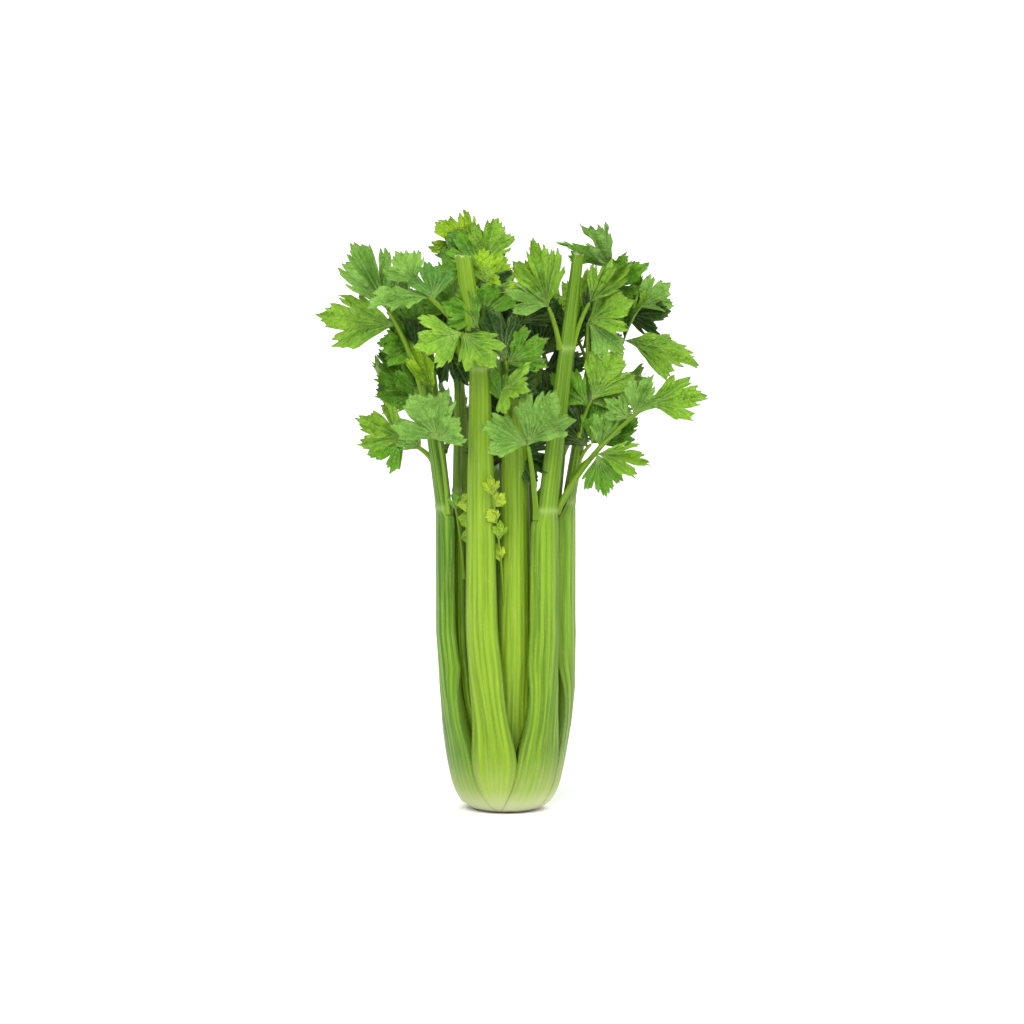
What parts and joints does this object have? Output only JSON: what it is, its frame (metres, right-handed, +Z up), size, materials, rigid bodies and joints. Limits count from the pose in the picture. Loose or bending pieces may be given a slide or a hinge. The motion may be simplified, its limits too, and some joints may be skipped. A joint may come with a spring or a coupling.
{
  "type": "head of celery",
  "caption": "Whole head of green celery with ribbed stalks and leafy tops, standing on its flat-cut root end.",
  "frame": {"origin": "middle of the flat-cut root end, on the surface that the head stands on", "axes": "+Z up along the ribs to the leaves, -Y the front, +X the right as seen from the front"},
  "size_m": [0.2482, 0.1711, 0.3828],
  "materials": {
    "rib": "fresh green plant flesh, satin, ridged along its length, cream at the foot",
    "butt": "pale cut root end, matt, browned at the edge",
    "leaf": "soft leaf, satin, veined, a little see-through",
    "sprout": "young yellow-green leaf, satin"
  },
  "bodies": {
    "root": {"butt": "butt", "rib_front_left": "rib", "rib_front_right": "rib", "rib_right": "rib", "rib_back_right": "rib", "rib_back": "rib", "rib_back_left": "rib", "rib_left": "rib", "rib_inner_front": "rib", "rib_inner_right": "rib", "rib_inner_back_right": "rib", "rib_inner_back_left": "rib", "rib_inner_left": "rib", "rib_heart_front": "rib", "rib_heart_right": "rib", "rib_heart_left": "rib", "sprig_far_left": "leaf", "sprig_left_arching": "leaf", "sprig_front_left_broad": "leaf", "sprig_front_left_folded": "leaf", "sprig_top_left_yellow": "leaf", "sprig_top_left_tall": "leaf", "sprig_left_upright": "leaf", "sprig_left_dark": "leaf", "sprig_left_broad": "leaf", "sprig_top_centre_yellow": "leaf", "sprig_centre_curled": "leaf", "sprig_centre_dark": "leaf", "sprig_front_right_high": "leaf", "sprig_centre_stalked": "leaf", "sprig_centre_forked": "leaf", "sprig_front_centre": "leaf", "sprig_front_left_low": "leaf", "sprig_far_left_low": "leaf", "sprig_left_pointed": "leaf", "sprig_left_yellow": "leaf", "sprig_right_stem": "leaf", "sprig_right_under": "leaf", "sprig_right_hanging": "leaf", "sprig_right_broad": "leaf", "sprig_right_lime": "leaf", "sprig_top_right_arching": "leaf", "sprig_right_upright": "leaf", "sprig_right_dark": "leaf", "sprig_far_right_drooping": "leaf", "sprig_far_right_pale": "leaf", "sprout_centre": "sprout", "sprout_left": "sprout", "sprig_back_low_1": "leaf", "sprig_back_low_2": "leaf", "sprig_back_low_3": "leaf", "sprig_back_low_4": "leaf", "sprig_back_low_5": "leaf", "sprig_back_high_1": "leaf", "sprig_back_high_2": "leaf", "sprig_back_high_3": "leaf", "sprig_back_high_4": "leaf", "sprig_back_high_5": "leaf", "sprig_heart_right": "leaf", "sprig_heart_front": "leaf"}
  },
  "joints": []
}
